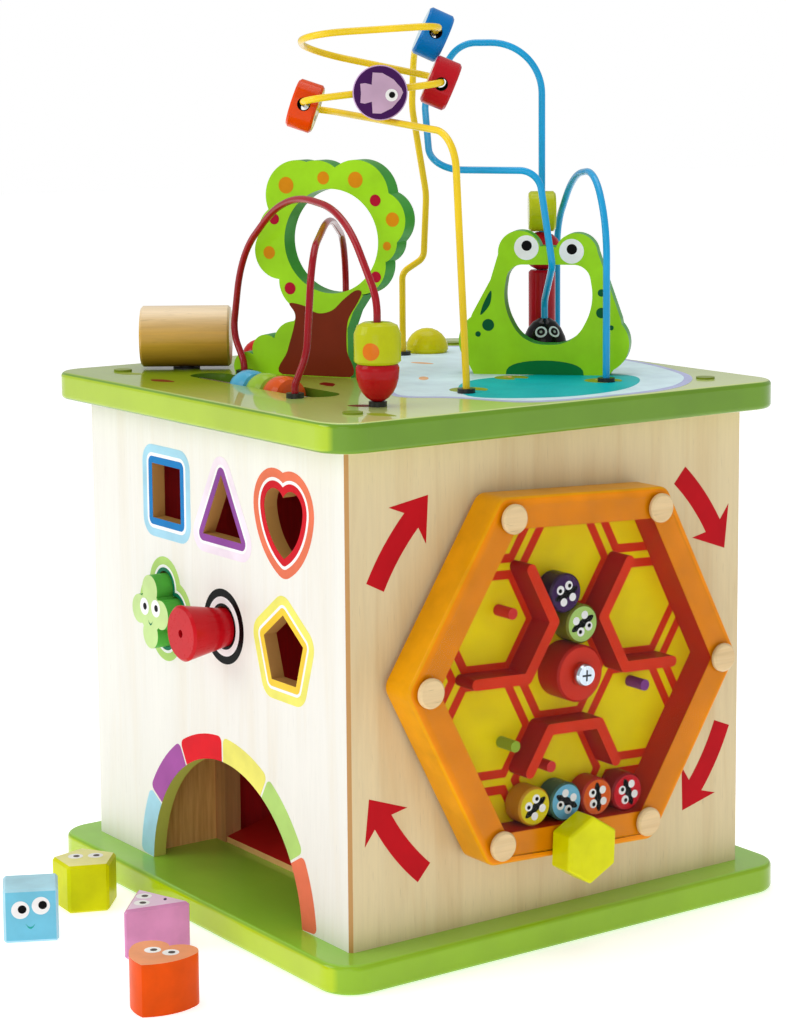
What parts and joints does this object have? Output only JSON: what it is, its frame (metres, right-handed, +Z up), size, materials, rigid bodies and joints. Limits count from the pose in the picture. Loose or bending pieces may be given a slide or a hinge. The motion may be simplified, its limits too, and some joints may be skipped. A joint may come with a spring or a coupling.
{
  "type": "shape sorter activity cube",
  "caption": "Wooden activity cube: shape sorter side with blocks and doorway, turning honeycomb maze side, and a deck with bead wires, tree and frog cut-outs and a log.",
  "frame": {"origin": "middle of the base plate's underside", "axes": "+Z up; the sorter panel faces -Y and the maze panel faces +X"},
  "size_m": [0.374, 0.4616, 0.5724],
  "materials": {
    "green_paint": "satin wood",
    "birch_ply": "satin wood",
    "natural_wood": "satin wood",
    "dark_red_board": "satin wood",
    "brown_board": "satin wood",
    "steel": "brushed steel",
    "yellow_board": "satin wood",
    "orange_paint": "satin wood",
    "clear_cover": "glass",
    "maze_red": "satin wood",
    "lime_paint": "satin wood",
    "tree_green": "satin wood",
    "yellow_wire": "painted metal",
    "blue_wire": "painted metal",
    "red_wire": "painted metal",
    "black_plastic": "matte plastic",
    "blue_paint": "satin wood",
    "red_paint": "satin wood",
    "purple_paint": "satin wood",
    "yellow_paint": "satin wood",
    "light_blue_paint": "satin wood",
    "pink_paint": "satin wood",
    "orange_block": "satin wood",
    "black_paint": "satin wood",
    "light_green_paint": "satin wood"
  },
  "bodies": {
    "cube": {"back_panel": "birch_ply", "base_plate": "green_paint", "blue_short_wire": "blue_wire", "blue_tall_wire": "blue_wire", "chute_back": "dark_red_board", "chute_post": "natural_wood", "chute_ramp": "brown_board", "chute_side": "natural_wood", "corner_battens": "natural_wood", "deck_screws": "steel", "frog": "tree_green", "left_panel": "birch_ply", "log_dowel": "black_plastic", "maze_bolt": "steel", "maze_panel": "birch_ply", "maze_washer_nut": "steel", "red_big_wire": "red_wire", "red_dome": "red_paint", "red_small_wire": "red_wire", "slot_rod": "steel", "sorter_panel": "birch_ply", "top_plate": "green_paint", "tree": "tree_green", "wire_ferrules": "black_plastic", "yellow_dome": "yellow_paint", "yellow_wire": "yellow_wire"},
    "maze_wheel": {"maze_frame": "orange_paint", "maze_backboard": "yellow_board", "maze_hub": "maze_red", "maze_walls": "maze_red", "maze_pegs": "red_paint", "maze_cover": "clear_cover", "maze_caps": "natural_wood", "maze_knob": "lime_paint"},
    "puck_red": {"puck_red": "red_paint"},
    "puck_orange": {"puck_orange": "orange_block"},
    "puck_blue": {"puck_blue": "light_blue_paint"},
    "puck_yellow": {"puck_yellow": "yellow_paint"},
    "puck_lime": {"puck_lime": "lime_paint"},
    "puck_purple": {"puck_purple": "purple_paint"},
    "disc_orange": {"disc_orange": "orange_block"},
    "disc_red": {"disc_red": "red_paint"},
    "disc_blue": {"disc_blue": "blue_paint"},
    "disc_fish": {"disc_fish": "purple_paint"},
    "barrel_red": {"barrel_red": "red_paint"},
    "bead_red": {"bead_red": "red_paint"},
    "disc_lime": {"disc_lime": "lime_paint"},
    "bead_ladybug": {"bead_ladybug": "black_paint"},
    "acorn_nut": {"acorn_nut": "red_paint"},
    "acorn_cap": {"acorn_cap": "yellow_paint"},
    "crawler_blue": {"crawler_blue": "light_blue_paint"},
    "crawler_lime": {"crawler_lime": "lime_paint"},
    "crawler_orange": {"crawler_orange": "orange_block"},
    "log_roller": {"log_roller": "natural_wood"},
    "block_square": {"block_square": "light_blue_paint"},
    "block_pentagon": {"block_pentagon": "yellow_paint"},
    "block_triangle": {"block_triangle": "pink_paint"},
    "block_heart": {"block_heart": "orange_block"},
    "block_flower": {"block_flower": "light_green_paint"},
    "block_round": {"block_round": "red_paint"}
  },
  "joints": [
    {"name": "wheel_turn", "type": "hinge", "parent": "cube", "child": "maze_wheel", "pos_m": [0.157, -0.0025, 0.17], "axis": [1, 0, 0], "continuous": true},
    {"name": "puck_red_slide", "type": "slide", "parent": "maze_wheel", "child": "puck_red", "axis": [0, 0.0454, 0.999], "range_m": [0, 0.005]},
    {"name": "puck_orange_slide", "type": "slide", "parent": "maze_wheel", "child": "puck_orange", "axis": [0, 0.0454, 0.999], "range_m": [0, 0.01]},
    {"name": "puck_blue_slide", "type": "slide", "parent": "maze_wheel", "child": "puck_blue", "axis": [0, 0.0454, 0.999], "range_m": [0, 0.005]},
    {"name": "puck_yellow_slide", "type": "slide", "parent": "maze_wheel", "child": "puck_yellow", "axis": [0, -0.999, 0.0454], "range_m": [0, 0.015]},
    {"name": "puck_lime_slide", "type": "slide", "parent": "maze_wheel", "child": "puck_lime", "axis": [0, 0.0454, 0.999], "range_m": [0, 0.012]},
    {"name": "puck_purple_slide", "type": "slide", "parent": "puck_lime", "child": "puck_purple", "axis": [0, -0.4602, 0.8878], "range_m": [0, 0.012]},
    {"name": "disc_orange_spin", "type": "hinge", "parent": "cube", "child": "disc_orange", "pos_m": [-0.03309, -0.05625, 0.51118], "axis": [0.8001, -0.594, 0.083], "continuous": true},
    {"name": "disc_red_spin", "type": "hinge", "parent": "cube", "child": "disc_red", "pos_m": [0.02228, 0.01125, 0.5252], "axis": [-0.8184, 0.573, 0.0441], "range_deg": [0, 25]},
    {"name": "disc_blue_slide", "type": "slide", "parent": "cube", "child": "disc_blue", "axis": [-0.8703, 0.4843, -0.0897], "range_m": [0, 0.07]},
    {"name": "disc_fish_slide", "type": "slide", "parent": "cube", "child": "disc_fish", "axis": [0.5699, 0.8139, 0.1129], "range_m": [-0.018, 0.001]},
    {"name": "barrel_red_slide", "type": "slide", "parent": "cube", "child": "barrel_red", "axis": [0, 0, 1], "range_m": [0, 0.02]},
    {"name": "bead_red_slide", "type": "slide", "parent": "barrel_red", "child": "bead_red", "axis": [0, 0, 1], "range_m": [0, 0.01]},
    {"name": "disc_lime_slide", "type": "slide", "parent": "bead_red", "child": "disc_lime", "axis": [0, 0, 1], "range_m": [0, 0.01]},
    {"name": "ladybug_slide", "type": "slide", "parent": "cube", "child": "bead_ladybug", "axis": [0, 0, 1], "range_m": [0, 0.005]},
    {"name": "acorn_nut_slide", "type": "slide", "parent": "cube", "child": "acorn_nut", "axis": [0, 0, 1], "range_m": [0, 0.003]},
    {"name": "acorn_cap_slide", "type": "slide", "parent": "acorn_nut", "child": "acorn_cap", "axis": [0, 0, 1], "range_m": [0, 0.003]},
    {"name": "crawler_blue_slide", "type": "slide", "parent": "cube", "child": "crawler_blue", "axis": [1, 0, 0], "range_m": [-0.045, 0.02]},
    {"name": "crawler_lime_slide", "type": "slide", "parent": "crawler_blue", "child": "crawler_lime", "axis": [1, 0, 0], "range_m": [0, 0.008]},
    {"name": "crawler_orange_slide", "type": "slide", "parent": "crawler_lime", "child": "crawler_orange", "axis": [1, 0, 0], "range_m": [0, 0.008]},
    {"name": "log_swivel", "type": "hinge", "parent": "cube", "child": "log_roller", "pos_m": [-0.125, -0.094, 0.335], "axis": [0, 0, 1], "continuous": true},
    {"name": "block_square_lift", "type": "slide", "parent": "cube", "child": "block_square", "axis": [0, 0, 1], "range_m": [0, 0.05]},
    {"name": "block_pentagon_lift", "type": "slide", "parent": "cube", "child": "block_pentagon", "axis": [0, 0, 1], "range_m": [0, 0.05]},
    {"name": "block_triangle_lift", "type": "slide", "parent": "cube", "child": "block_triangle", "axis": [0, 0, 1], "range_m": [0, 0.05]},
    {"name": "block_heart_lift", "type": "slide", "parent": "cube", "child": "block_heart", "axis": [0, 0, 1], "range_m": [0, 0.05]},
    {"name": "block_flower_push", "type": "slide", "parent": "cube", "child": "block_flower", "axis": [0, 1, 0], "range_m": [-0.015, 0.025]},
    {"name": "block_round_push", "type": "slide", "parent": "cube", "child": "block_round", "axis": [0, 1, 0], "range_m": [-0.015, 0.001]}
  ]
}
